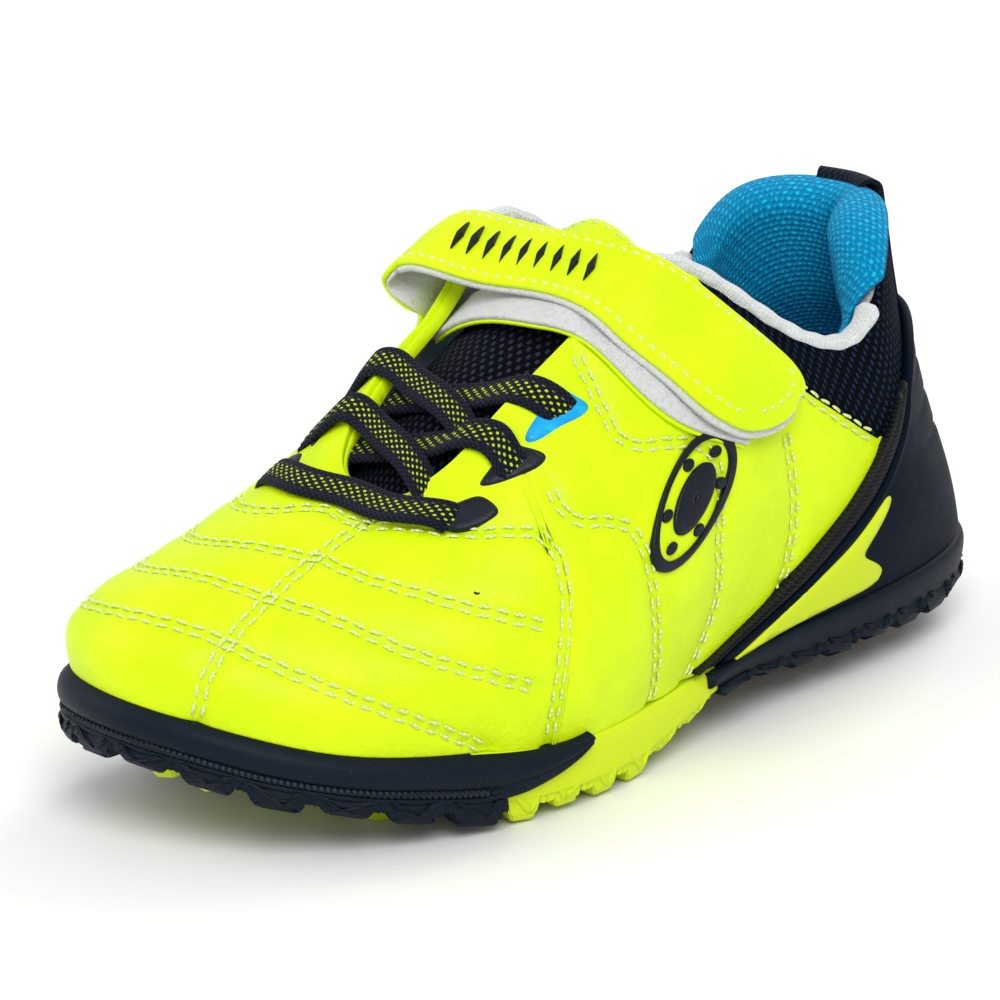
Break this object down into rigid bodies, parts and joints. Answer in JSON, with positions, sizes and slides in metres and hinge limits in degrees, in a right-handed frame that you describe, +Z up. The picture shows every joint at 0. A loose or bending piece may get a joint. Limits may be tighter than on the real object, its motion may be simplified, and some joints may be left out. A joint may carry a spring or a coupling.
{
  "type": "turf football shoe",
  "caption": "Child's left turf football shoe with elastic laces, a hook-and-loop instep strap, a padded collar and a studded rubber sole.",
  "frame": {"origin": "on the ground under the middle of the shoe", "axes": "+Z up, -Y toward the toe, +X toward the outer (lateral) side"},
  "size_m": [0.0822, 0.2017, 0.0926],
  "materials": {
    "collar_foam": "open-cell foam",
    "collar_mesh": "air mesh with a blue fleck",
    "heel_counter": "stiffener sheet",
    "heel_cup": "moulded thermoplastic, satin",
    "heel_foam": "open-cell foam",
    "heel_lining": "brushed knit lining",
    "hook_tape": "woven hook or loop tape",
    "insole": "open-cell foam",
    "lace_bar": "flat elastic with neon flecks",
    "lace_lower_lateral": "flat elastic with neon flecks",
    "lace_lower_medial": "flat elastic with neon flecks",
    "lace_upper_lateral": "flat elastic with neon flecks",
    "lace_upper_medial": "flat elastic with neon flecks",
    "lasting_board": "fibreboard",
    "lateral_cup_wedge": "moulded thermoplastic, satin",
    "lateral_edge_trim": "ridged moulded strip",
    "lateral_eyelet_patches": "thin moulded film",
    "lateral_lining": "white knit lining",
    "lateral_quarter": "synthetic leather, lightly grained, satin",
    "loop_tape": "woven hook or loop tape",
    "medial_cup_wedge": "moulded thermoplastic, satin",
    "medial_edge_trim": "ridged moulded strip",
    "medial_eyelet_patches": "thin moulded film",
    "medial_lining": "white knit lining",
    "medial_quarter": "synthetic leather, lightly grained, satin",
    "outsole_forefoot": "moulded rubber, satin",
    "outsole_heel": "moulded rubber, satin",
    "outsole_midfoot": "moulded rubber, satin",
    "pull_tab": "woven webbing",
    "side_emblem": "raised moulded print",
    "strap_emblem": "raised moulded print",
    "strap_face": "synthetic leather, lightly grained, satin",
    "strap_lining": "white knit lining",
    "strap_riser": "synthetic leather, lightly grained, satin",
    "strap_underlay": "white knit lining",
    "toe_puff": "stiffener sheet",
    "tongue_foam": "open-cell foam",
    "tongue_lining": "white knit lining",
    "tongue_mesh": "air mesh with a blue fleck",
    "tongue_top_patch": "synthetic leather, lightly grained, satin",
    "vamp_lining": "white knit lining",
    "vamp_panel": "synthetic leather, lightly grained, satin"
  },
  "bodies": {
    "shoe": {"collar_foam": "collar_foam", "collar_mesh": "collar_mesh", "heel_counter": "heel_counter", "heel_cup": "heel_cup", "heel_foam": "heel_foam", "heel_lining": "heel_lining", "insole": "insole", "lace_bar": "lace_bar", "lace_lower_lateral": "lace_lower_lateral", "lace_lower_medial": "lace_lower_medial", "lace_upper_lateral": "lace_upper_lateral", "lace_upper_medial": "lace_upper_medial", "lasting_board": "lasting_board", "lateral_cup_wedge": "lateral_cup_wedge", "lateral_edge_trim": "lateral_edge_trim", "lateral_eyelet_patches": "lateral_eyelet_patches", "lateral_lining": "lateral_lining", "lateral_quarter": "lateral_quarter", "loop_tape": "loop_tape", "medial_cup_wedge": "medial_cup_wedge", "medial_edge_trim": "medial_edge_trim", "medial_eyelet_patches": "medial_eyelet_patches", "medial_lining": "medial_lining", "medial_quarter": "medial_quarter", "outsole_forefoot": "outsole_forefoot", "outsole_heel": "outsole_heel", "outsole_midfoot": "outsole_midfoot", "pull_tab": "pull_tab", "side_emblem": "side_emblem", "strap_riser": "strap_riser", "strap_underlay": "strap_underlay", "toe_puff": "toe_puff", "vamp_lining": "vamp_lining", "vamp_panel": "vamp_panel"},
    "tongue": {"tongue_mesh": "tongue_mesh", "tongue_foam": "tongue_foam", "tongue_lining": "tongue_lining", "tongue_top_patch": "tongue_top_patch"},
    "strap": {"strap_face": "strap_face", "strap_lining": "strap_lining", "hook_tape": "hook_tape", "strap_emblem": "strap_emblem"}
  },
  "joints": [
    {"name": "strap_open", "type": "hinge", "parent": "shoe", "child": "strap", "pos_m": [-0.0305, -0.0045, 0.085], "axis": [0, -0.9285, -0.3714], "range_deg": [0, 140]},
    {"name": "tongue_tilt", "type": "hinge", "parent": "shoe", "child": "tongue", "pos_m": [0, -0.0445, 0.0465], "axis": [1, 0, 0], "range_deg": [-8, 0]}
  ]
}
